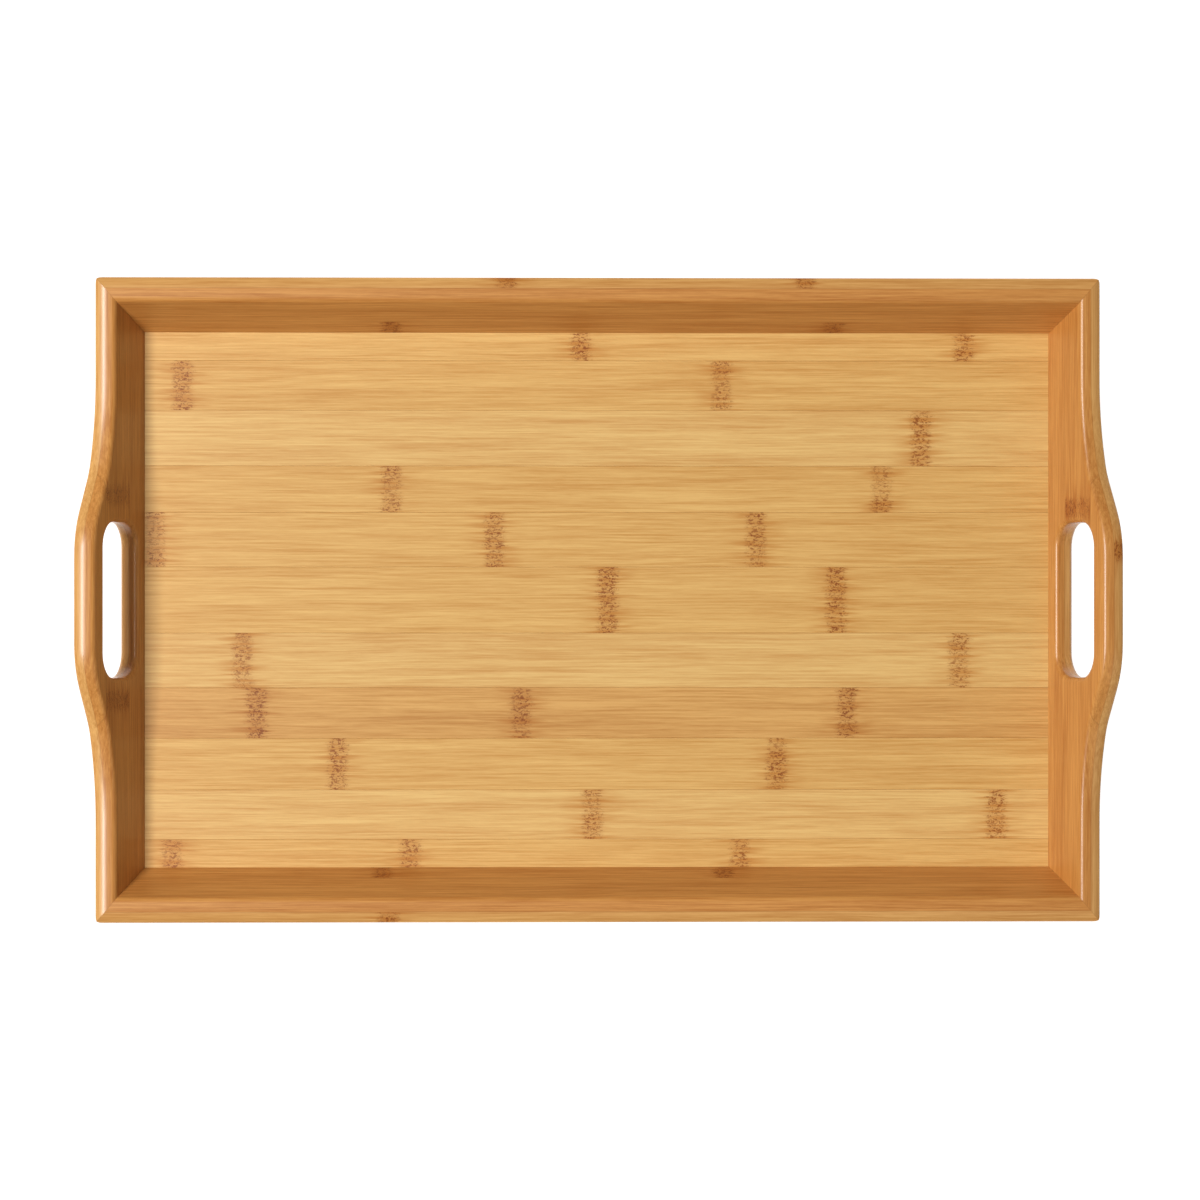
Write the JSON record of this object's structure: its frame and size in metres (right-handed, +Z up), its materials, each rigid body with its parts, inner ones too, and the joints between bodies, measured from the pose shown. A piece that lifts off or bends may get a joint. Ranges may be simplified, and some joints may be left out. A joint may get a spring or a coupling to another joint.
{
  "type": "serving tray",
  "caption": "Rectangular bamboo serving tray with leaning, mitred walls and raised end handles with rounded hand slots.",
  "frame": {"origin": "centre of the tray in plan, at the level of the table it stands on", "axes": "+X along the length, towards the right-hand handle; +Y across, towards the rear rail; +Z up"},
  "size_m": [0.502, 0.312, 0.058],
  "materials": {
    "floor_bamboo": "satin clear lacquer",
    "floor_bamboo_light": "satin clear lacquer",
    "floor_bamboo_dark": "satin clear lacquer",
    "end_bamboo_inner": "satin clear lacquer",
    "end_bamboo_outer": "satin clear lacquer",
    "rail_bamboo_inner": "satin clear lacquer",
    "rail_bamboo_outer": "satin clear lacquer",
    "spline_bamboo": "satin clear lacquer"
  },
  "bodies": {
    "root": {"floor_strip_1": "floor_bamboo", "floor_strip_2": "floor_bamboo", "floor_strip_3": "floor_bamboo_light", "floor_strip_4": "floor_bamboo", "floor_strip_5": "floor_bamboo", "floor_strip_6": "floor_bamboo", "floor_strip_7": "floor_bamboo_light", "floor_strip_8": "floor_bamboo_dark", "floor_strip_9": "floor_bamboo", "floor_strip_10": "floor_bamboo_light", "floor_strip_11": "floor_bamboo", "left_end_inner_strip_1": "end_bamboo_inner", "left_end_inner_strip_2": "end_bamboo_inner", "left_end_inner_strip_3": "end_bamboo_inner", "left_end_outer_strip_1": "end_bamboo_outer", "left_end_outer_strip_2": "end_bamboo_outer", "left_end_outer_strip_3": "end_bamboo_outer", "right_end_inner_strip_1": "end_bamboo_inner", "right_end_inner_strip_2": "end_bamboo_inner", "right_end_inner_strip_3": "end_bamboo_inner", "right_end_outer_strip_1": "end_bamboo_outer", "right_end_outer_strip_2": "end_bamboo_outer", "right_end_outer_strip_3": "end_bamboo_outer", "front_rail_inner_strip_1": "rail_bamboo_inner", "front_rail_inner_strip_2": "rail_bamboo_inner", "front_rail_outer_strip_1": "rail_bamboo_outer", "front_rail_outer_strip_2": "rail_bamboo_outer", "front_rail_outer_strip_3": "rail_bamboo_outer", "rear_rail_inner_strip_1": "rail_bamboo_inner", "rear_rail_inner_strip_2": "rail_bamboo_inner", "rear_rail_outer_strip_1": "rail_bamboo_outer", "rear_rail_outer_strip_2": "rail_bamboo_outer", "rear_rail_outer_strip_3": "rail_bamboo_outer", "front_left_spline": "spline_bamboo", "front_right_spline": "spline_bamboo", "rear_left_spline": "spline_bamboo", "rear_right_spline": "spline_bamboo"}
  },
  "joints": []
}
